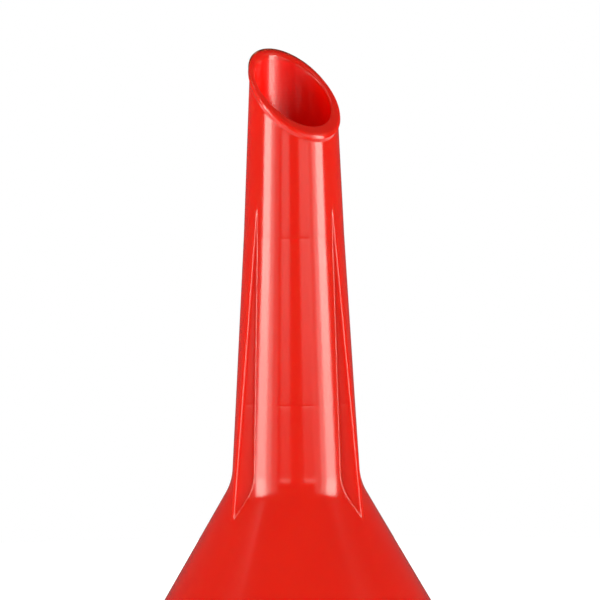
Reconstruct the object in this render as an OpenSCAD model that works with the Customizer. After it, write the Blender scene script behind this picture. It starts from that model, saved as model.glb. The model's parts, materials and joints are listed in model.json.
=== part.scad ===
// Fuel funnel: one moulded body with a long bevelled spout, and a gauze strainer that lifts out of the bowl.
// Millimetres. The origin is the centre of the mouth, +Z runs up the axis to the tip of the spout, and the
// bevel of the tip faces +X. The funnel stands mouth down on its rim, so the strainer comes out along -Z.

/* [Bowl] */
// Diameter over the rim
rim_d = 160; // [150:1:175]
// Height of the rim
rim_h = 4; // [3.6:0.1:5]
// How far the rim stands out of the collar
rim_out = 2.5; // [1.5:0.1:3.5]
// Height of the straight collar between the rim's face and the cone
collar_h = 20; // [16:1:24]
// Angle between the cone's wall and the axis
cone_angle = 30; // [29:0.5:31]
// Thickness of the bowl's wall
wall = 2; // [1.6:0.1:2.4]

/* [Spout] */
// Outer radius where the spout's line meets the cone's line
root_r = 14.3; // [13.6:0.1:14.6]
// Height of the tip's centre above that corner
spout_len = 87.1; // [80:0.1:95]
// Draft of the lowest stretch of the spout
draft_low = 3.4; // [3.1:0.05:3.6]
// Draft of the middle stretch
draft_mid = 3.3; // [2.9:0.05:3.4]
// Draft of the stretch up to the tip
draft_top = 2.5; // [2.2:0.05:2.7]
// Thickness of the spout's wall
spout_wall = 1.7; // [1.5:0.1:2]
// Radius of the fillet between the spout and the cone
root_fillet = 12; // [8:1:14]
// Angle of the tip's cut to the horizontal
bevel = 42; // [30:1:45]
// How far the lip stands out of the spout
lip_out = 0.5; // [0.3:0.05:0.9]
// Thickness of the lip, square to the cut
lip_t = 1; // [0.8:0.1:2]

/* [Air ribs] */
// Thickness of a rib at its edge
rib_t = 1; // [0.8:0.1:2]
// Draft of a rib's sides
rib_draft = 30; // [0:1:35]
// Height above the cone where a rib starts
rib_len = 62; // [56:1:66]
// How far a rib stands out of the spout at the cone
rib_out = 3.1; // [2:0.1:3.4]
// Angle between the pair of ribs that stand closer together
rib_spread = 105; // [100:1:120]
// Direction midway between that pair, from the low side of the tip's cut
rib_turn = -33; // [-60:1:60]

/* [Hanging tab] */
// Radius of the tab's round end
tab_r = 9; // [8:0.5:11]
// Radius of the hanging hole
tab_hole_r = 4; // [3:0.1:5]
// Thickness of the tab
tab_t = 2.4; // [2:0.1:2.6]

/* [Strainer] */
// Outer radius of the strainer's frame
frame_r = 38; // [36:0.5:40]
// Height of the frame
frame_h = 5; // [4.6:0.1:6]
// Radial clearance between the frame and its seat
seat_gap = 0.15; // [0.1:0.05:0.3]
// Number of spokes that carry the gauze
spokes = 6; // [5:1:8]
// Radius of the bail's wire
wire_r = 1; // [0.8:0.1:1.1]
// Reach of the bail below its pivot
bail_h = 20; // [18:1:22]

/* [Hidden] */
$fn = 96;
plastic = "#e2231a";
eps = 0.01;

rim_r = rim_d / 2;
collar_r = rim_r - rim_out;
collar_in = collar_r - wall;
corner_z = collar_h + (collar_r - root_r) / tan(cone_angle); // where the spout's and the cone's lines meet
tip_z = corner_z + spout_len;
tip_over = 12; // the spout is made this much longer than its centre, then cut
cone_from = collar_h + 6; // the cone's node starts clear of the collar's bend
spout_from = corner_z - 8; // and ends clear of the spout's fillet
low_h = 18.4; // height of the lowest stretch of draft
mid_h = 36.6; // height of the middle stretch
cone_wall_r = wall / cos(cone_angle); // the cone's wall, measured along a radius

// Outer radius of the spout at a height above the corner
function spout_r(h) = root_r
    - tan(draft_low) * min(h, low_h)
    - tan(draft_mid) * max(0, min(h - low_h, mid_h))
    - tan(draft_top) * max(0, h - low_h - mid_h);

// Outer and inner radius of the cone at a height in the part's frame
function cone_r(z) = root_r + (corner_z - z) * tan(cone_angle);
function cone_in(z) = cone_r(z) - cone_wall_r;
// Height at which the cone's inner wall has a given radius
function cone_in_z(r) = corner_z - (r + cone_wall_r - root_r) / tan(cone_angle);

function unit(v) = v / norm(v);
function turned(v, a) = [v.x * cos(a) - v.y * sin(a), v.x * sin(a) + v.y * cos(a)];

// The arc of radius r that rounds the corner b between a and c
function rounded(a, b, c, r, n = 8) =
    let (
        to_a = unit(a - b),
        to_c = unit(c - b),
        half = acos(to_a * to_c) / 2,
        centre = b + unit(to_a + to_c) * r / sin(half),
        start = b + to_a * r / tan(half) - centre,
        way = cross(to_a, to_c) > 0 ? -1 : 1
    )
    [for (i = [0:n]) centre + turned(start, way * (180 - 2 * half) * i / n)];

// The body's wall as a line in (radius, height), from the rim's plane to above the tip. Inset 0 is the
// outer face. The inner face has the collar's and cone's wall as one inset and the spout's as another.
function wall_line(collar_inset, cone_inset, spout_inset, bend) =
    let (
        foot = [collar_r - collar_inset, rim_h],
        shoulder_z = corner_z - (collar_r - collar_inset + cone_inset - root_r) / tan(cone_angle),
        shoulder = [collar_r - collar_inset, shoulder_z],
        corner_drop = (cone_inset - spout_inset) / (tan(cone_angle) - tan(draft_low)),
        corner_h = -corner_drop,
        corner = [root_r + corner_drop * tan(draft_low) - spout_inset, corner_z + corner_h],
        low = [spout_r(low_h) - spout_inset, corner_z + low_h],
        mid = [spout_r(low_h + mid_h) - spout_inset, corner_z + low_h + mid_h],
        top_h = spout_len + tip_over,
        top = [spout_r(top_h) - spout_inset, corner_z + top_h]
    )
    concat(
        [foot],
        rounded(foot, shoulder, corner, bend),
        rounded(shoulder, corner, low, root_fillet),
        [low, mid, top]
    );

outer_line = wall_line(0, 0, 0, 8);
inner_line = wall_line(wall, cone_wall_r, spout_wall, 6);

function reversed(list) = [for (i = [len(list) - 1:-1:0]) list[i]];

// The whole wall above the rim, and the space that it encloses with its thickness
module wall_solid() {
    rotate_extrude() polygon(concat(outer_line, reversed(inner_line)));
}

module filled_body() {
    rotate_extrude() polygon(concat([[0, rim_h]], outer_line, [[0, tip_z + tip_over]]));
}

// A slice of the wall between two heights
module wall_between(from, to) {
    intersection() {
        wall_solid();
        translate([0, 0, from]) cylinder(r = rim_r + 5, h = to - from);
    }
}

// The half-space above the tip's cut, lowered square to the cut by a distance
module above_cut(lowered = 0) {
    reach = 60; // well past the spout on every side
    translate([0, 0, tip_z])
        rotate([0, bevel, 0])
            translate([-reach, -reach, -lowered]) cube([2 * reach, 2 * reach, reach]);
}

// The spout's shell near the tip, widened to the lip's radius
module lip_shell() {
    from_h = spout_len - 16;
    to_h = spout_len + tip_over;
    rotate_extrude() polygon([
        [spout_r(from_h) - spout_wall, corner_z + from_h],
        [spout_r(from_h) + lip_out, corner_z + from_h],
        [spout_r(to_h) + lip_out, corner_z + to_h],
        [spout_r(to_h) - spout_wall, corner_z + to_h],
    ]);
}

module spout() {
    color(plastic)
        difference() {
            union() {
                wall_between(spout_from, tip_z + tip_over);
                intersection() {
                    lip_shell();
                    above_cut(lip_t);
                }
            }
            above_cut();
        }
}

// A long fin on the spout's side, wider at its foot, whose straight edge starts flush with the spout and
// ends on the cone
module air_rib(direction) {
    start = [spout_r(rib_len), corner_z + rib_len];
    foot = [root_r + rib_out, corner_z];
    slope = (foot.x - start.x) / (start.y - foot.y);
    run = 9; // the edge runs on below the corner until it is inside the cone
    end = [foot.x + slope * run, foot.y - run];
    depth = 4; // from the rib's edge to inside the wall
    spread = depth * tan(rib_draft);
    color(plastic)
        difference() {
            rotate([0, 0, direction])
                translate([end.x, 0, end.y])
                    rotate([0, -atan(slope), 0])
                        linear_extrude(norm(start - end))
                            polygon([
                                [0, -rib_t / 2],
                                [0, rib_t / 2],
                                [-depth, rib_t / 2 + spread],
                                [-depth, -rib_t / 2 - spread],
                            ]);
            filled_body();
        }
}

module cone() {
    color(plastic) wall_between(cone_from, spout_from);
}

module collar() {
    color(plastic) wall_between(rim_h, cone_from);
}

module rim() {
    round_r = 0.8;
    inside = [collar_in, rim_h];
    top = [rim_r, rim_h];
    foot = [rim_r, 0];
    color(plastic)
        rotate_extrude()
            polygon(concat(
                [[collar_in + 0.5, 0]],
                rounded([collar_in, 0], foot, top, round_r),
                rounded(foot, top, inside, round_r),
                [inside, [collar_in, 0.5]]
            ));
}

module hanging_tab() {
    lift = (rim_h - tab_t) / 2; // the tab sits at half the rim's height
    end_x = -(rim_r + tab_r);
    lean = 62; // where the tab's straight sides touch its round end
    color(plastic)
        translate([0, 0, lift])
            difference() {
                union() {
                    translate([end_x, 0, 0]) cylinder(r = tab_r, h = tab_t);
                    linear_extrude(tab_t)
                        polygon([
                            [end_x + tab_r * cos(lean), tab_r * sin(lean)],
                            [end_x + tab_r * cos(lean), -tab_r * sin(lean)],
                            [-rim_r + 6, -tab_r - 9],
                            [-rim_r + 6, tab_r + 9],
                        ]);
                }
                translate([0, 0, -1]) cylinder(r = rim_r, h = tab_t + 2);
                translate([end_x, 0, -1]) cylinder(r = tab_hole_r, h = tab_t + 2);
            }
}

// The strainer's frame plugs into a short bore that a ring on the cone's inner wall makes
seat_r = frame_r + seat_gap;
seat_top = cone_in_z(seat_r);
seat_from = cone_in_z(seat_r + wall);
frame_top = seat_top - 0.1;
frame_from = frame_top - frame_h;
gauze_t = 0.3;
carrier_t = 1.6; // thickness of the frame's ledge and spokes
gauze_top = frame_top - carrier_t;
recess_r = frame_r - 2;
ledge_r = recess_r - 3;
clamp_from = frame_from + 0.4;
pivot_z = frame_from - 3.5;
pivot_gap = 0.08; // radial clearance of the bail's wire in its ears

module strainer_seat() {
    color(plastic)
        rotate_extrude()
            polygon([[seat_r, seat_from], [cone_in(seat_from), seat_from], [seat_r, seat_top]]);
}

module strainer_frame() {
    hub_r = 4;
    spoke_w = 2.4;
    ear_w = 6;
    color("#26272b")
        difference() {
            union() {
                rotate_extrude()
                    polygon([
                        [recess_r, frame_from], [frame_r, frame_from], [frame_r, frame_top],
                        [ledge_r, frame_top], [ledge_r, gauze_top], [recess_r, gauze_top],
                    ]);
                translate([0, 0, gauze_top]) cylinder(r = hub_r, h = carrier_t);
                for (i = [0:spokes - 1])
                    rotate([0, 0, 360 * (i + 0.5) / spokes])
                        translate([hub_r - 1, -spoke_w / 2, gauze_top])
                            cube([ledge_r - hub_r + 2, spoke_w, carrier_t]);
                intersection() {
                    for (side = [-1, 1])
                        ear(side, ear_w);
                    ring_between(recess_r, frame_r, pivot_z - 4, frame_from + 1);
                }
            }
            translate([-frame_r - 1, 0, pivot_z])
                rotate([0, 90, 0]) cylinder(r = wire_r + pivot_gap, h = 2 * frame_r + 2);
        }
}

// An ear for the bail: a strap with a round end below, across the ring's wall
module ear(side, w) {
    across = side > 0 ? recess_r - 1 : -frame_r - 1;
    translate([across, -w / 2, pivot_z]) cube([frame_r - recess_r + 2, w, frame_from - pivot_z + 1]);
    translate([across, 0, pivot_z])
        rotate([0, 90, 0]) cylinder(r = w / 2, h = frame_r - recess_r + 2);
}

module ring_between(inner, outer, from, to) {
    difference() {
        translate([0, 0, from]) cylinder(r = outer, h = to - from);
        translate([0, 0, from - 1]) cylinder(r = inner, h = to - from + 2);
    }
}

module gauze() {
    color("#c9a14a") translate([0, 0, gauze_top - gauze_t]) cylinder(r = recess_r, h = gauze_t);
}

module clamp_ring() {
    color("#26272b") ring_between(ledge_r, recess_r, clamp_from, gauze_top - gauze_t);
}

// A quarter of a bend in the wire, from +X round to +Y about the origin
module wire_bend(bend_r) {
    rotate_extrude(angle = 90) translate([bend_r, 0]) circle(r = wire_r);
}

// Half of the bail: a stub through the ear, a tight bend, a leg, a wide bend and half of the bar
module half_bail() {
    leg_x = recess_r - 2.4;
    stub_bend = 2;
    bar_bend = 8;
    stub_end = frame_r + 0.5;
    translate([leg_x + stub_bend, 0, 0]) rotate([0, 90, 0])
        cylinder(r = wire_r, h = stub_end - leg_x - stub_bend);
    translate([leg_x + stub_bend, 0, -stub_bend]) rotate([90, 0, 0]) rotate([0, 0, 90]) wire_bend(stub_bend);
    translate([leg_x, 0, bar_bend - bail_h]) cylinder(r = wire_r, h = bail_h - bar_bend - stub_bend);
    translate([leg_x - bar_bend, 0, bar_bend - bail_h])
        rotate([90, 0, 0]) rotate([0, 0, -90]) wire_bend(bar_bend);
    translate([-eps, 0, -bail_h]) rotate([0, 90, 0]) cylinder(r = wire_r, h = leg_x - bar_bend + eps);
}

module lift_bail() {
    color("silver")
        translate([0, 0, pivot_z]) {
            half_bail();
            rotate([0, 0, 180]) half_bail();
        }
}

spout();
air_rib(rib_turn - rib_spread / 2);  // air_rib_left
air_rib(rib_turn + rib_spread / 2);  // air_rib_right
air_rib(rib_turn + 180);  // air_rib_back
cone();
collar();
rim();
hanging_tab();
strainer_seat();
strainer_frame();
gauze();
clamp_ring();
lift_bail();
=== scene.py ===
import json
import bmesh
import bpy
import numpy as np
from math import cos, pi, radians, sin, tan
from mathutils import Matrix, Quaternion, Vector


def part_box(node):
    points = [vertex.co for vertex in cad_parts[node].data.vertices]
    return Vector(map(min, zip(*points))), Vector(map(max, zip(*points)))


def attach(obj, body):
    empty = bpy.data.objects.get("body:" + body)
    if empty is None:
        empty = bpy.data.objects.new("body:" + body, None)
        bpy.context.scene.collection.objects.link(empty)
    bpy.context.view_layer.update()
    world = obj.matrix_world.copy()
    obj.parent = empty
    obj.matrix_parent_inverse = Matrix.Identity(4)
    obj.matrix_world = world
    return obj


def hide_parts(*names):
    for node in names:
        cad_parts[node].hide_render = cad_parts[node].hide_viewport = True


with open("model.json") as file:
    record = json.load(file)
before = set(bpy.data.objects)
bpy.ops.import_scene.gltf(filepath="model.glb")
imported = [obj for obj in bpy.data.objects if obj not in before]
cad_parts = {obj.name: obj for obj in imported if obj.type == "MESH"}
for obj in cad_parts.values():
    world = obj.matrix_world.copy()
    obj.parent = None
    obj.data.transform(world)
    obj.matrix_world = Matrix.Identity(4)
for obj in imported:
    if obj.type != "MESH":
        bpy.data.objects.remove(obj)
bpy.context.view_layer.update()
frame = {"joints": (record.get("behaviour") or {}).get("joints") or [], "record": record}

mm = 0.001
mounts = {m["name"]: Vector(m["pos_m"]) for m in frame["record"]["mounts"]}


# ---- shader sums ----

# a shader socket that can be added, multiplied and so on; every operator adds one Math node
class Signal:
    def __init__(self, paint, socket):
        self.paint = paint
        self.socket = socket

    def maths(self, operation, *others):
        terms = dict(enumerate((self, *others)))
        return self.paint.node("ShaderNodeMath", {"operation": operation}, terms)

    def __add__(self, other): return self.maths("ADD", other)
    def __radd__(self, other): return self.maths("ADD", other)
    def __mul__(self, other): return self.maths("MULTIPLY", other)
    def __rmul__(self, other): return self.maths("MULTIPLY", other)
    def __sub__(self, other): return self.maths("SUBTRACT", other)
    def __rsub__(self, other): return (self * -1.0).maths("ADD", other)
    def __rtruediv__(self, other): return self.maths("POWER", -1.0) * other
    def __truediv__(self, other): return self.maths("DIVIDE", other)
    def __pow__(self, other): return self.maths("POWER", other)
    def sine(self): return self.maths("SINE")
    def clamped(self): return self.maths("MAXIMUM", 0.0).maths("MINIMUM", 1.0)


# a material with one Principled shader; node() adds any other node from its type, settings and inputs
class Paint:
    def __init__(self, name):
        self.material = bpy.data.materials.new(name)
        self.material.use_nodes = True
        self.tree = self.material.node_tree
        self.shader = self.tree.nodes["Principled BSDF"]
        coordinates = self.tree.nodes.new("ShaderNodeTexCoord")
        self.place = Signal(self, coordinates.outputs["Object"])

    def node(self, kind, settings, inputs, output=0):
        made = self.tree.nodes.new(kind)
        for name, value in settings.items():
            setattr(made, name, value)
        for name, value in inputs.items():
            self.connect(made.inputs[name], value)
        return Signal(self, made.outputs[output])

    def connect(self, socket, value):
        if isinstance(value, Signal):
            self.tree.links.new(value.socket, socket)
        else:
            socket.default_value = value

    def noise(self, scale, detail=2.0, stretch=(1, 1, 1)):  # a value from 0 to 1, stretched along an axis
        spot = self.node("ShaderNodeMapping", {}, {"Vector": self.place, "Scale": stretch})
        return self.node("ShaderNodeTexNoise", {}, {"Vector": spot, "Scale": scale, "Detail": detail})

    def mix(self, share, first, second):  # from the first colour to the second
        settings = {"data_type": "RGBA"}
        return self.node("ShaderNodeMix", settings, {0: share, 6: first, 7: second}, 2)

    def heights(self):  # the x, y and z of a point on the object
        split = self.tree.nodes.new("ShaderNodeSeparateXYZ")
        self.tree.links.new(self.place.socket, split.inputs[0])
        return [Signal(self, out) for out in split.outputs]

    def attribute(self, name):
        return self.node("ShaderNodeAttribute", {"attribute_name": name}, {}, 2)

    def bump(self, height, distance, strength=1.0):
        return self.node("ShaderNodeBump", {}, {"Height": height, "Distance": distance, "Strength": strength})

    def set(self, **inputs):
        for name, value in inputs.items():
            self.connect(self.shader.inputs[name.replace("_", " ")], value)


# ---- mesh helpers ----

# a grid of points (rows, columns, 3) becomes quads; a wrapped direction joins its last line to its first
def gridFaces(rows, columns, wrapRows, wrapColumns, start=0):
    r = np.arange(rows if wrapRows else rows - 1)[:, None]
    c = np.arange(columns if wrapColumns else columns - 1)[None, :]
    nextR, nextC = (r + 1) % rows, (c + 1) % columns
    corners = [r * columns + c, r * columns + nextC, nextR * columns + nextC, nextR * columns + c]
    return start + np.stack([np.broadcast_to(k, (r.size, c.size)) for k in corners], -1).reshape(-1, 4)


# a shell is (points, faces); its signed volume is the sum of the tetrahedra from the origin to each face
def facingOut(points, faces):
    a, b, c, d = (points[faces[:, k]] for k in range(4))
    volume = np.einsum("ij,ij->", a, np.cross(b, c)) + np.einsum("ij,ij->", a, np.cross(c, d))
    return faces if volume > 0 else faces[:, ::-1]


def gridShell(grid, wrapRows=False, wrapColumns=True):
    points = grid.reshape(-1, 3)
    return points, facingOut(points, gridFaces(*grid.shape[:2], wrapRows, wrapColumns))


# a closed tube: a grid wrapped round its columns, with the middle of each end as a pole
def cappedShell(grid):
    ends = [np.broadcast_to(g.mean(0), g.shape)[None] for g in (grid[0], grid[-1])]
    return gridShell(np.concatenate([ends[0], grid, ends[1]]))


def makePiece(name, shells, body, material, replaced, inside=None):
    points = np.concatenate([p for p, f in shells])
    starts = np.cumsum([0] + [len(p) for p, f in shells[:-1]])
    faces = np.concatenate([f + s for (p, f), s in zip(shells, starts)])
    mesh = bpy.data.meshes.new(name)
    mesh.from_pydata(points, [], faces)
    if inside is not None:
        marks = mesh.attributes.new("inside", "FLOAT", "POINT").data
        marks.foreach_set("value", inside.astype(np.float32).ravel())
    mesh.validate()
    mesh.shade_smooth()
    mesh.materials.append(material)
    piece = bpy.data.objects.new(name, mesh)
    bpy.context.scene.collection.objects.link(piece)
    mergePoles(mesh)
    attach(piece, body)
    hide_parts(*replaced)
    print("made", name, len(mesh.vertices), "points", len(mesh.polygons), "faces")
    return piece


def mergePoles(mesh):
    work = bmesh.new()
    work.from_mesh(mesh)
    bmesh.ops.remove_doubles(work, verts=work.verts, dist=1e-7)
    work.to_mesh(mesh)
    work.free()


# the arc that rounds a corner: its centre lies on the bisector, radius / sin(half the corner's angle) away
def cornerArc(before, corner, after, radius, steps):
    before, corner, after = (np.array(p, float) for p in (before, corner, after))
    toBefore = (before - corner) / np.linalg.norm(before - corner)
    toAfter = (after - corner) / np.linalg.norm(after - corner)
    half = np.arccos(np.clip(toBefore @ toAfter, -1, 1)) / 2
    middle = (toBefore + toAfter) / np.linalg.norm(toBefore + toAfter)
    centre = corner + middle * radius / sin(half)
    first = corner + toBefore * radius / tan(half) - centre
    across = toBefore[0] * toAfter[1] - toBefore[1] * toAfter[0]
    turn = np.linspace(0, pi - 2 * half, steps + 1) * (-1 if across > 0 else 1)
    x = first[0] * np.cos(turn) - first[1] * np.sin(turn)
    y = first[0] * np.sin(turn) + first[1] * np.cos(turn)
    return centre + np.stack([x, y], 1)


# an outline of (x, y, radius, step) corners: each is rounded, and the straight run after it is cut into steps
def roundedLine(corners, closed=True):
    count = len(corners)
    pieces = []
    for i, (x, y, radius, step) in enumerate(corners):
        before, after = corners[i - 1][:2], corners[(i + 1) % count][:2]
        ends = not closed and i in (0, count - 1)
        if radius and not ends:
            steps = max(3, int(np.ceil(8 * (radius / mm) ** 0.4)))
            pieces.append(cornerArc(before, (x, y), after, radius, steps))
        else:
            pieces.append(np.array([[x, y]], float))
    line = []
    for i, piece in enumerate(pieces):
        line.append(piece)
        if closed or i < count - 1:
            following = pieces[(i + 1) % count][0]
            length = np.linalg.norm(following - piece[-1])
            cuts = np.arange(1, max(1, round(length / corners[i][3])))
            share = (cuts / max(1, round(length / corners[i][3])))[:, None]
            line.append(piece[-1] + (following - piece[-1]) * share)
    return np.concatenate(line)


# an outline of (radius, height) turned round the axis
def turned(outline, columns):
    around = np.linspace(0, 2 * pi, columns, endpoint=False)
    radius, height = outline[:, :1], outline[:, 1:]
    return np.stack([radius * np.cos(around), radius * np.sin(around), height + 0 * around], -1)


# ---- the moulded funnel ----

funnel = {
    "spoutLength": 87.1 * mm,  # from the corner where spout and cone meet to the middle of the cut
    "rootRadius": 14.3 * mm,
    "drafts": ((3.4, 18.4 * mm), (3.3, 36.6 * mm), (2.5, 60 * mm)),  # degrees, and the height of each stretch
    "spoutWall": 1.7 * mm,
    "wall": 2 * mm,
    "coneAngle": 30,
    "rootFillet": 12 * mm,
    "shoulder": 8 * mm,
    "bevel": 42,
    "tipThinning": 0.75 * mm,  # how much thinner the wall gets at the high side of the tip
    "lipOut": 0.5 * mm,
    "lipDepth": 1.1 * mm,
    "lipFade": 0.6,  # share of the lip's stand-out that is lost at the high side
    "shearFrom": 24 * mm,  # below the tip, where the rows start to lean towards the cut
    "ribLength": 62 * mm,
    "ribOut": 3.1 * mm,
    "ribThickness": 1 * mm,
    "ribDraft": 30,
    "ribRound": 0.16 * mm,  # softness of a rib's edge, and of its foot on the wall
    "ribFoot": 0.05 * mm,
    "ribCrown": 0.25 * mm,  # how wide the middle of the edge is rounded, and how much that narrows the flat
    "ribEase": 0.12 * mm,
    "columnAngle": 2.9,  # degrees between two columns away from the ribs
    "ribTurn": -33,
    "ribSpread": 105,
    "seatRadius": 38.15 * mm,
}

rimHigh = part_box("rim")[1]
rimRadius, rimHeight = max(rimHigh.x, rimHigh.y), rimHigh.z
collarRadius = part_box("collar")[1].x
tipHeight = mounts["spout"].z
cornerHeight = tipHeight - funnel["spoutLength"]
coneSlope = tan(radians(funnel["coneAngle"]))
coneWall = funnel["wall"] / cos(radians(funnel["coneAngle"]))
kinkHeights = [cornerHeight + funnel["drafts"][0][1],
               cornerHeight + funnel["drafts"][0][1] + funnel["drafts"][1][1]]


# outer radius of the spout: the root radius less each draft's tangent times the height spent in its stretch
def spoutRadius(height):
    above = height - cornerHeight
    radius = funnel["rootRadius"] + 0 * above
    floor = 0
    for draft, stretch in funnel["drafts"]:
        low = -1 if floor == 0 else 0
        radius = radius - tan(radians(draft)) * np.clip(above - floor, low, stretch)
        floor += stretch
    return radius


# the wall's outline, up the outside, over the lip and down the inside
def funnelOutline():
    f = funnel
    level = cos(radians(f["bevel"]))
    inner = collarRadius - f["wall"]
    kinks = kinkHeights
    lipFoot = tipHeight - f["lipDepth"] / level
    shoulderZ = cornerHeight - (collarRadius - f["rootRadius"]) / coneSlope
    innerShoulderZ = cornerHeight - (inner + coneWall - f["rootRadius"]) / coneSlope
    draftSlope = tan(radians(f["drafts"][0][0]))
    drop = (coneWall - f["spoutWall"]) / (coneSlope - draftSlope)
    innerCorner = (f["rootRadius"] + drop * draftSlope - f["spoutWall"], cornerHeight - drop)
    seatTop = cornerHeight - (f["seatRadius"] + coneWall - f["rootRadius"]) / coneSlope
    seatFoot = seatTop - f["wall"] / coneSlope
    outside = [
        (inner + 1.6 * mm, 0, 0, 1 * mm),
        (rimRadius, 0, 1.1 * mm, 1 * mm),
        (rimRadius, rimHeight, 1.1 * mm, 1 * mm),
        (collarRadius, rimHeight, 0.9 * mm, 3 * mm),
        (collarRadius, shoulderZ, f["shoulder"], 4 * mm),
        (f["rootRadius"] + 14 * mm * coneSlope, cornerHeight - 14 * mm, 0, 0.7 * mm),
        (f["rootRadius"], cornerHeight, f["rootFillet"], 1.2 * mm),
        (spoutRadius(kinks[0]), kinks[0], 0.6 * mm, 1.2 * mm),
        (spoutRadius(kinks[1]), kinks[1], 0.6 * mm, 0.9 * mm),
        (spoutRadius(lipFoot) - 0.01 * mm, lipFoot - 0.5 * mm, 0.7 * mm, 0.25 * mm),
        (spoutRadius(lipFoot) + f["lipOut"], lipFoot + 0.65 * mm, 0.35 * mm, 0.25 * mm),
        (spoutRadius(tipHeight) + f["lipOut"], tipHeight, 0.4 * mm, 0.4 * mm),
    ]
    bore = spoutRadius(tipHeight) - f["spoutWall"]
    within = [
        (bore, tipHeight, 0.55 * mm, 0.9 * mm),
        (spoutRadius(kinks[1]) - f["spoutWall"], kinks[1], 0, 3 * mm),
        (spoutRadius(kinks[0]) - f["spoutWall"], kinks[0], 0, 3 * mm),
        (*innerCorner, f["rootFillet"], 3 * mm),
        (f["seatRadius"], seatTop, 0, 1 * mm),
        (f["seatRadius"], seatFoot, 0.4 * mm, 1 * mm),
        (f["seatRadius"] + f["wall"], seatFoot, 0.3 * mm, 4 * mm),
        (inner, innerShoulderZ, 6 * mm, 3 * mm),
        (inner, 0, 0.6 * mm, 0.6 * mm),
    ]
    line = roundedLine(outside + within)
    top = np.argmax(line[:, 1] + line[:, 0] * 1e-6)
    return line, top


# A rib's height at a sideways offset: its full height less the offset past the flat edge over the tangent of
# the draft. Both corners are smooth: past is (x + sqrt(x^2 + r^2)) / 2, and so is the foot's meeting with
# the wall.
def ribHeight(offset, full):
    f = funnel
    r, foot, crown = f["ribRound"], f["ribFoot"], f["ribCrown"]
    across = np.sqrt(offset * offset + crown ** 2) - crown - f["ribThickness"] / 2 + f["ribEase"]
    past = (across + np.sqrt(across * across + r * r)) / 2
    lift = full - (past - past.min()) / tan(radians(f["ribDraft"]))
    return (lift + np.sqrt(lift * lift + foot * foot)) / 2


# Each row is a circle at the outline's radius. Round a rib the columns keep a fixed offset from its middle
# plane, and their distance along it is the circle's, raised towards the rib's straight edge by ribHeight.
# Near the tip a row sinks by its x times the bevel's tangent, and takes the spout's radius at its new height.
def funnelGrid():
    f = funnel
    line, top = funnelOutline()
    radius, height = line[:, 0], line[:, 1]
    outer = np.arange(len(line)) <= top
    start = cornerHeight + f["ribLength"]
    lowest = f["rootRadius"] + f["ribOut"]
    highest = spoutRadius(start)
    ridge = highest + (start - height) * (lowest - highest) / f["ribLength"]
    offsets = mm * np.concatenate([
        np.linspace(-2.7, -0.9, 12), np.linspace(-0.8, 0.8, 17), np.linspace(0.9, 2.7, 12)])
    pair = f["ribSpread"] / 2
    middles = np.radians(np.array([-pair, pair, 180]) + f["ribTurn"])
    edge = np.arcsin(offsets[-1] / radius)[:, None]
    blocks = []
    for i, middle in enumerate(middles):
        along = np.sqrt(radius[:, None] ** 2 - offsets ** 2)
        rise = ribHeight(offsets, ridge[:, None] - along) * outer[:, None]
        along = along + rise
        blocks.append(np.stack([
            along * cos(middle) - offsets * sin(middle), along * sin(middle) + offsets * cos(middle)], -1))
        following = middles[(i + 1) % 3] + (2 * pi if i == 2 else 0)
        count = int(round((following - middle) / radians(f["columnAngle"])))
        share = np.arange(1, count) / count
        angle = middle + edge + (following - middle - 2 * edge) * share
        blocks.append(radius[:, None, None] * np.stack([np.cos(angle), np.sin(angle)], -1))
    flat = np.concatenate(blocks, 1)
    x, y = flat[..., 0], flat[..., 1]
    z = np.broadcast_to(height[:, None], x.shape)
    lean = np.clip((height - tipHeight + f["shearFrom"]) / (f["shearFrom"] - 4 * mm), 0, 1)
    lean = (lean * lean * (3 - 2 * lean))[:, None]
    proud = np.clip(radius - spoutRadius(height), 0, f["lipOut"]) * (outer & (height > tipHeight - 6 * mm))
    newX, newY, newZ = x, y, z
    for _ in range(5):
        newZ = z - lean * newX * tan(radians(f["bevel"]))
        far = np.hypot(x, y)
        high = (1 - x / far) / 2
        change = high * np.where(outer[:, None], -f["lipFade"] * proud[:, None], f["tipThinning"] * lean)
        scale = (far + spoutRadius(newZ) - spoutRadius(z) + change) / far
        scale = np.where(lean > 0, scale, 1)
        newX, newY = x * scale, y * scale
    bore = ~outer & (height > cornerHeight) & (height < tipHeight - 1.2 * mm)
    inside = np.broadcast_to(bore[:, None], x.shape).astype(float)
    return np.stack([newX, newY, newZ], -1), inside


# ---- plates with a hole ----

# A plate round a hole at the origin: each ray runs from the hole's radius to the outline's, and the section
# goes out on one face and back on the other with round edges. Height is the third axis.
def holedPlate(holeRadius, outlineRadius, thickness, rounding, rays=96):
    angle = np.linspace(0, 2 * pi, rays, endpoint=False)
    reach = outlineRadius(angle)
    bend = np.linspace(0, pi / 2, 6)[:, None]
    inward, down = (np.sin(bend) - 1) * rounding, (1 - np.cos(bend)) * rounding
    share = np.linspace(0, 1, 5)[1:-1, None]
    radius = np.concatenate([
        holeRadius - inward[::-1] + 0 * angle,
        holeRadius + rounding + (reach - holeRadius - 2 * rounding) * share,
        reach + inward,
    ])
    level = thickness / 2 - np.concatenate([down[::-1], 0 * share, down])
    radius, level = np.concatenate([radius, radius[::-1]]), np.concatenate([level, -level[::-1]])
    return np.stack([radius * np.cos(angle), radius * np.sin(angle), level + 0 * angle], -1)


hangingTab = {
    "holeRadius": 4 * mm,
    "endRadius": 9 * mm,
    "flare": 18 * mm,  # half the tab's width, the depth below inside the end's circle
    "flareDepth": 6 * mm,
    "overlap": 2.2 * mm,  # how far the tab runs on under the rim
    "lean": 62,  # degrees, where the straight sides touch the round end
    "rounding": 0.7 * mm,
}


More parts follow.
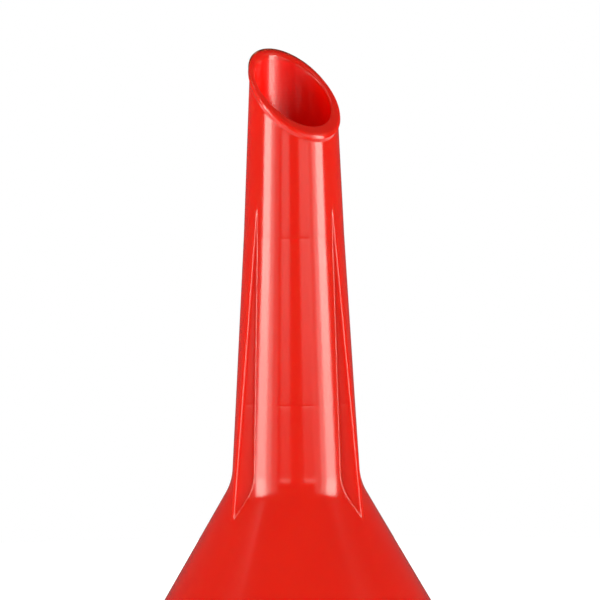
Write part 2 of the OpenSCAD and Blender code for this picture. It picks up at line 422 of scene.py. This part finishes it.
# distance along a ray to the side line of the tab, which leaves its round end and meets the rim wider
def tabReach(angle):
    t = hangingTab
    x, y = np.cos(angle), np.abs(np.sin(angle))
    lean = radians(t["lean"])
    root = t["endRadius"] + t["overlap"]
    touch = np.array([cos(lean), sin(lean)]) * t["endRadius"]
    side = np.array([t["endRadius"] + t["flareDepth"], t["flare"]]) - touch
    normal = np.array([-side[1], side[0]]) / np.linalg.norm(side)
    toSide = (normal @ touch) / np.maximum(x * normal[0] + y * normal[1], 1e-6)
    toRoot = root / np.maximum(x, 1e-6)
    straight = np.maximum(t["endRadius"], np.minimum(toSide, toRoot))
    return np.where(x > cos(lean), straight, t["endRadius"])


# ---- the strainer ----

strainer = {
    "carrier": 1.6 * mm,  # thickness of the ledge and the spokes
    "ringWall": 2 * mm,
    "ledge": 3 * mm,
    "spokes": 6,
    "spokeWidth": 2.4 * mm,
    "hubRadius": 4 * mm,
    "rounding": 0.35 * mm,
    "earRadius": 3 * mm,
    "earHole": 1.08 * mm,  # radius, with room for the bail's wire to turn
    "pitch": 1.65 * mm,  # of the gauze
    "wire": 0.17 * mm,  # radius of the gauze's wire
}
frameLow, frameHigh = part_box("strainer_frame")
frameRadius, frameTop = frameHigh.y, frameHigh.z
clampLow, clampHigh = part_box("clamp_ring")
ringFoot = clampLow.z - 0.4 * mm
recessRadius = frameRadius - strainer["ringWall"]
ledgeRadius = recessRadius - strainer["ledge"]
gauzeTop = frameTop - strainer["carrier"]
pivot = Vector(next(j for j in frame["joints"] if j["name"] == "bail_swing")["pos_m"])


def strainerRing():
    r, ring = strainer["rounding"], strainer["ringWall"]
    outline = roundedLine([
        (recessRadius, ringFoot, r, 1 * mm),
        (frameRadius, ringFoot, r, 1 * mm),
        (frameRadius, frameTop, 0.7 * mm, 1 * mm),
        (ledgeRadius, frameTop, r, 0.8 * mm),
        (ledgeRadius, gauzeTop, 0.15 * mm, 1 * mm),
        (recessRadius, gauzeTop, 0.15 * mm, 1 * mm),
    ])
    return gridShell(turned(outline, 192), wrapRows=True)


# a rounded bar from the hub to the ledge, that widens towards both ends like a fillet
def spokeShell(angle):
    s = strainer
    section = roundedLine([(x * 0.5, z * 0.5, 0.25, 0.4) for x, z in ((-1, -1), (1, -1), (1, 1), (-1, 1))])
    along = np.concatenate([np.linspace(s["hubRadius"] - 1 * mm, 9 * mm, 9), [ledgeRadius / 2],
                            np.linspace(ledgeRadius - 5 * mm, ledgeRadius + 1 * mm, 9)])
    ends = np.minimum(along - s["hubRadius"], ledgeRadius - along)
    width = s["spokeWidth"] * (1 + 0.9 * np.exp(-np.maximum(ends, 0) / (1.3 * mm)))
    across = width[:, None] * section[None, :, 0]
    level = gauzeTop + s["carrier"] * (section[None, :, 1] + 0.5) - 0.03 * mm
    outward = along[:, None] + 0 * across
    c, n = cos(angle), sin(angle)
    return cappedShell(np.stack([outward * c - across * n, outward * n + across * c, level + 0 * across], -1))


def hubShell():
    s = strainer
    outline = roundedLine([
        (0, gauzeTop, 0, 1 * mm), (s["hubRadius"], gauzeTop, s["rounding"], 1 * mm),
        (s["hubRadius"], frameTop, s["rounding"], 1 * mm), (1.2 * mm, frameTop, 0.3 * mm, 0.5 * mm),
        (1.2 * mm, frameTop - 0.4 * mm, 0.2 * mm, 0.5 * mm), (0, frameTop - 0.4 * mm, 0, 1 * mm),
    ], closed=False)
    return gridShell(turned(outline, 48))


# an ear is a holed plate that hangs under the ring and follows its curve
def earShell(side):
    radius, up = strainer["earRadius"], ringFoot + 1 * mm - pivot.z

    def reach(angle):
        x, y = np.abs(np.cos(angle)), np.sin(angle)
        strap = np.minimum(radius / np.maximum(x, 1e-6), up / np.maximum(y, 1e-6))
        return np.where(y > 0, np.maximum(radius, strap), radius)

    grid = holedPlate(strainer["earHole"], reach, strainer["ringWall"], 0.25 * mm, 64)
    across, level, out = grid[..., 0], grid[..., 1], grid[..., 2]
    middle = (frameRadius + recessRadius) / 2
    bent = np.sqrt((middle + out) ** 2 - across ** 2)
    return gridShell(np.stack([side * bent, across, pivot.z + level], -1), wrapRows=True)


def clampShell():
    r = 0.3 * mm
    outline = roundedLine([
        (ledgeRadius, clampLow.z, r, 0.8 * mm), (recessRadius, clampLow.z, r, 0.8 * mm),
        (recessRadius, clampHigh.z, r, 0.8 * mm), (ledgeRadius, clampHigh.z, r, 0.8 * mm)])
    grid = turned(outline, 240)
    around = np.arctan2(grid[..., 1], grid[..., 0])
    notch = np.clip((np.cos(3 * around + pi / 2) - 0.985) / 0.01, 0, 1)
    near = np.clip((recessRadius - np.hypot(grid[..., 0], grid[..., 1])) / strainer["ledge"], 0, 1)
    scale = 1 + notch * near * 1.1 * mm / ledgeRadius
    grid[..., 0] *= scale
    grid[..., 1] *= scale
    return gridShell(grid, wrapRows=True)


# Wire i of one set runs along the other axis and goes up and down as a cosine whose half wave is the pitch,
# and the other set has the opposite sign, so that at each crossing one wire is over the other.
def gauzeShells():
    s = strainer
    reach = recessRadius - 0.3 * mm
    count = int(2 * reach / s["pitch"])
    place = (np.arange(count) - (count - 1) / 2) * s["pitch"]
    half = np.sqrt(reach ** 2 - place ** 2)[:, None]
    along = half * np.linspace(-1, 1, 176)
    sign = np.where(np.arange(count) % 2 == 0, 1, -1)[:, None]
    wave = s["wire"] * 1.02 * sign * np.cos(pi * (along - place[0]) / s["pitch"])
    slope = -s["wire"] * 1.02 * sign * pi / s["pitch"] * np.sin(pi * (along - place[0]) / s["pitch"])
    tilt = np.arctan(slope)[..., None]
    around = np.linspace(0, 2 * pi, 5, endpoint=False)
    level = gauzeTop - 0.15 * mm
    length = along[..., None] - np.sin(tilt) * s["wire"] * np.sin(around)
    across = place[:, None, None] + s["wire"] * np.cos(around) + 0 * length
    rise = np.cos(tilt) * s["wire"] * np.sin(around)
    shells = []
    for turn, height in ((0, wave), (1, -wave)):
        up = level + height[..., None] + rise
        wires = np.stack([across, length, up] if turn else [length, across, up], -1)
        shells += [cappedShell(w) for w in wires]
    return shells


# ---- the bail ----

bail = {"wire": 1 * mm, "tightBend": 2 * mm, "wideBend": 8 * mm}


# a wire round a line in the x, z plane: each ring is a circle on the line's normal and the y axis
def wireShell(line, radius, sides=24):
    ahead = np.gradient(line, axis=0)
    ahead /= np.linalg.norm(ahead, axis=1)[:, None]
    normal = np.stack([-ahead[:, 1], ahead[:, 0]], 1)
    around = np.linspace(0, 2 * pi, sides, endpoint=False)
    size = np.full(len(line), radius)
    size[[0, -1]] *= 0.72
    out = size[:, None] * np.cos(around)
    x = line[:, :1] + normal[:, :1] * out
    z = line[:, 1:] + normal[:, 1:] * out
    return cappedShell(np.stack([x, size[:, None] * np.sin(around) + 0 * x, z], -1))


def bailLine():
    low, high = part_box("lift_bail")
    legX, bar, end = recessRadius - 2.4 * mm, low.z + bail["wire"], high.x
    step = 0.8 * mm
    half = [(end, pivot.z, 0, 0.25 * mm), (end - 0.3 * mm, pivot.z, 0, step),
            (legX, pivot.z, bail["tightBend"], step), (legX, bar, bail["wideBend"], 2 * mm)]
    other = [(-x, z, r, s) for x, z, r, s in half[::-1]]
    return roundedLine(half + other, closed=False)


# ---- finishes ----

# moulded plastic: clear red, a little translucent, with flow marks along the axis and a fine skin; inside the
# bore it has the ripple of the core's turned surface, and a painted redder colour that stands in for the
# light glowing through the thin wall
def mouldedPlastic(name, deep, bright, roughness, boreRippleAndPaintedGlow=False, rings=()):
    p = Paint(name)
    z = p.heights()[2]
    flow = p.noise(55, 3, (1, 1, 0.12))
    cloud = p.noise(28, 4)
    specks = p.noise(2600, 2)
    tone = (flow * 0.6 + cloud * 0.4 - 0.3) * 2.2
    base = p.mix(tone.clamped(), deep, bright)
    if boreRippleAndPaintedGlow:
        # painted glow: the bore is painted a brighter, redder red in place of the light that shines through
        # the thin wall
        base = p.mix(p.attribute("inside") * 0.85, base, (0.95, 0.006, 0.002, 1))
    height = p.noise(900, 3) * 0.5 + p.noise(5200, 1) * 0.12 + p.noise(60, 2, (1, 1, 0.2)) * 5
    rough = roughness + (cloud - 0.5) * 0.06 + (specks - 0.5) * 0.05
    for ring in rings:
        height = height - 2.5 / (((z - ring) * 5000) ** 2 + 1)
    if boreRippleAndPaintedGlow:
        inside = p.attribute("inside")
        height = height + inside * ((z * (2 * pi / 0.0007)).sine() * 0.6 + p.noise(500, 2) * 2)
        rough = rough + inside * 0.06
    p.set(Base_Color=base, Roughness=rough, Normal=p.bump(height, 0.00001, 0.6))
    p.set(IOR=1.5, Subsurface_Weight=0.75, Subsurface_Scale=0.004, Subsurface_Radius=(1, 0.05, 0.02))
    return p.material


def wovenBrass():
    p = Paint("brassWire")
    stain = p.noise(160, 4)
    drawn = p.noise(3000, 2)
    base = p.mix(((stain - 0.35) * 2.5).clamped(), (0.62, 0.40, 0.14, 1), (0.86, 0.65, 0.30, 1))
    p.set(Base_Color=base, Metallic=1.0, Roughness=0.24 + (stain - 0.5) * 0.25 + (drawn - 0.5) * 0.1)
    p.set(Normal=p.bump(drawn, 0.00001, 0.4))
    return p.material


def drawnSteel():
    p = Paint("steelWire")
    lines = p.noise(1500, 3, (0.2, 1, 1))
    stain = p.noise(120, 4)
    base = p.mix(stain, (0.50, 0.50, 0.51, 1), (0.74, 0.74, 0.75, 1))
    p.set(Base_Color=base, Metallic=1.0, Roughness=0.2 + (lines - 0.5) * 0.2 + (stain - 0.5) * 0.1)
    p.set(Normal=p.bump(lines, 0.00001, 0.5))
    return p.material


red = mouldedPlastic("funnelRed", (0.60, 0.0105, 0.0030, 1), (0.66, 0.0130, 0.0038, 1), 0.15, boreRippleAndPaintedGlow=True,
                     rings=kinkHeights)
strainerRed = mouldedPlastic("strainerRed", (0.55, 0.006, 0.004, 1), (0.62, 0.010, 0.006, 1), 0.3)
brass = wovenBrass()
steel = drawnSteel()
print("finishes ready")

grid, inside = funnelGrid()
print("funnel grid", grid.shape[0], "rows,", grid.shape[1], "columns")
makePiece("funnelBody", [gridShell(grid, wrapRows=True)], "funnel", red,
          ["spout", "air_rib_left", "air_rib_right", "air_rib_back", "cone", "collar", "rim",
           "strainer_seat"],
          inside)

tabLow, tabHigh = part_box("hanging_tab")
tabGrid = holedPlate(hangingTab["holeRadius"], tabReach, tabHigh.z - tabLow.z, hangingTab["rounding"], 160)
tabGrid = tabGrid + np.array([mounts["hang_hole"].x, 0, (tabLow.z + tabHigh.z) / 2])
makePiece("hangingTab", [gridShell(tabGrid, wrapRows=True)], "funnel", red, ["hanging_tab"])

spokeAngles = (np.arange(strainer["spokes"]) + 0.5) * 2 * pi / strainer["spokes"]
frameShells = [strainerRing(), hubShell(), earShell(1), earShell(-1), *(spokeShell(a) for a in spokeAngles)]
makePiece("strainerFrame", frameShells, "strainer", strainerRed, ["strainer_frame"])
makePiece("clampRing", [clampShell()], "strainer", strainerRed, ["clamp_ring"])
makePiece("wovenGauze", gauzeShells(), "strainer", brass, ["gauze"])
makePiece("liftBail", [wireShell(bailLine(), bail["wire"])], "bail", steel, ["lift_bail"])


# ---- studio ----

studio = {
    "azimuth": 55.5,
    "elevation": 5.5,
    "distance": 0.9,
    "width": 0.1328,  # of the view, at the funnel
    "aimHeight": 0.170,
    "aimRight": 0.0012,
    "roll": 0.48,
    "lamp": (1, 0.985, 0.89),
    "backdrop": 1.0,
    "fill": 0.12,
    "floorRadius": 0.75,
    "floorNear": (0.5, 0.5, 0.5, 1),
    "floorFar": (1, 1, 1, 1),
}
azimuth = radians(studio["azimuth"])
screenRight = Vector((cos(azimuth), sin(azimuth), 0))
towards = Vector((sin(azimuth), -cos(azimuth), 0))  # from the funnel to the camera, level


def addCamera():
    s = studio
    data = bpy.data.cameras.new("camera")
    data.sensor_width = 36
    data.lens = 36 * s["distance"] / s["width"]
    data.clip_start, data.clip_end = 0.05, 50
    camera = bpy.data.objects.new("camera", data)
    rise = radians(s["elevation"])
    back = towards * cos(rise) + Vector((0, 0, sin(rise)))
    aim = Vector((0, 0, s["aimHeight"])) + screenRight * s["aimRight"]
    camera.location = aim + back * s["distance"]
    camera.rotation_mode = "QUATERNION"
    spin = Quaternion((0, 0, 1), -radians(s["roll"]))
    camera.rotation_quaternion = (-back).to_track_quat("-Z", "Y") @ spin
    bpy.context.scene.collection.objects.link(camera)
    bpy.context.scene.camera = camera


# a softbox at an angle from the camera's side, whose brightness is power over pi times its area
def addSoftbox(name, turn, distance, low, high, width, radiance, flat=False):
    data = bpy.data.lights.new(name, "AREA")
    data.shape = "RECTANGLE"
    data.size, data.size_y = width, high - low
    data.energy = radiance * pi * width * (high - low)
    data.color = studio["lamp"]
    light = bpy.data.objects.new(name, data)
    side = towards * cos(radians(turn)) + screenRight * sin(radians(turn))
    light.location = side * distance + Vector((0, 0, (low + high) / 2))
    light.rotation_mode = "QUATERNION"
    light.rotation_quaternion = (Vector((0, 0, -1)) if flat else -side).to_track_quat("-Z", "Y")
    light.visible_camera = False
    bpy.context.scene.collection.objects.link(light)


# white to the camera, and a weak fill to everything else
def addWorld():
    s = studio
    world = bpy.data.worlds.new("studio")
    bpy.context.scene.world = world
    world.use_nodes = True
    tree = world.node_tree
    fill = tree.nodes["Background"]
    fill.inputs["Color"].default_value = (1, 1, 1, 1)
    fill.inputs["Strength"].default_value = s["fill"]
    seen = tree.nodes.new("ShaderNodeBackground")
    seen.inputs["Color"].default_value = (1, 1, 1, 1)
    seen.inputs["Strength"].default_value = s["backdrop"]
    rays = tree.nodes.new("ShaderNodeLightPath")
    mixed = tree.nodes.new("ShaderNodeMixShader")
    tree.links.new(rays.outputs["Is Camera Ray"], mixed.inputs[0])
    tree.links.new(fill.outputs[0], mixed.inputs[1])
    tree.links.new(seen.outputs[0], mixed.inputs[2])
    tree.links.new(mixed.outputs[0], tree.nodes["World Output"].inputs["Surface"])


def addLamps():
    for side in (-1, 1):
        addSoftbox("softbox", side * 66, 0.8, 0.16, 0.62, 0.28, 10.5)
        addSoftbox("softboxFoot", side * 66, 0.8, 0.0, 0.16, 0.28, 7.5)
        addSoftbox("softboxEdge", side * 51, 0.81, 0.03, 0.60, 0.14, 3.2)
        addSoftbox("softboxShade", side * 40, 0.82, 0.03, 0.60, 0.16, 0.9)
    addSoftbox("spill", -76, 0.8, 0.84, 1.25, 0.34, 0.9)
    addSoftbox("spill", 84, 0.8, 0.84, 1.25, 0.34, 0.9)
    addSoftbox("farPanelLeft", -19.5, 12, 0.16, 2.2, 3.9, 1.9)
    addSoftbox("farPanelRight", 25, 12, 0.16, 2.2, 4.9, 1.9)
    addSoftbox("overhead", 20, 0.2, 1.4, 2.0, 0.9, 1.3, flat=True)


# a pale disc that glows a little more towards its edge, and is see-through from below
def addFloor():
    s = studio
    p = Paint("paleFloor")
    base = p.mix(p.noise(40, 3), (0.80, 0.80, 0.80, 1), (0.84, 0.84, 0.84, 1))
    x, y = p.heights()[:2]
    far = ((x * x + y * y) ** 0.5 / s["floorRadius"] * 1.6 - 0.4).clamped()
    under = p.node("ShaderNodeNewGeometry", {}, {}, 6)  # its Backfacing
    p.set(Base_Color=base, Roughness=0.8, Alpha=1.0 - under)
    p.set(Emission_Color=p.mix(far, s["floorNear"], s["floorFar"]), Emission_Strength=1.0)
    around = np.linspace(0, 2 * pi, 128, endpoint=False)
    rings = np.linspace(0, s["floorRadius"], 5)[:, None]
    disc = np.stack([rings * np.cos(around), rings * np.sin(around), 0 * rings * around], -1)
    points, faces = disc.reshape(-1, 3), gridFaces(5, 128, False, True)[:, ::-1]
    mesh = bpy.data.meshes.new("floor")
    mesh.from_pydata(points, [], faces)
    mesh.materials.append(p.material)
    mergePoles(mesh)
    floor = bpy.data.objects.new("floor", mesh)
    bpy.context.scene.collection.objects.link(floor)


addCamera()
addWorld()
addLamps()
addFloor()
bpy.context.scene.view_settings.view_transform = "Standard"
bpy.context.scene.view_settings.look = "None"
print("studio ready")
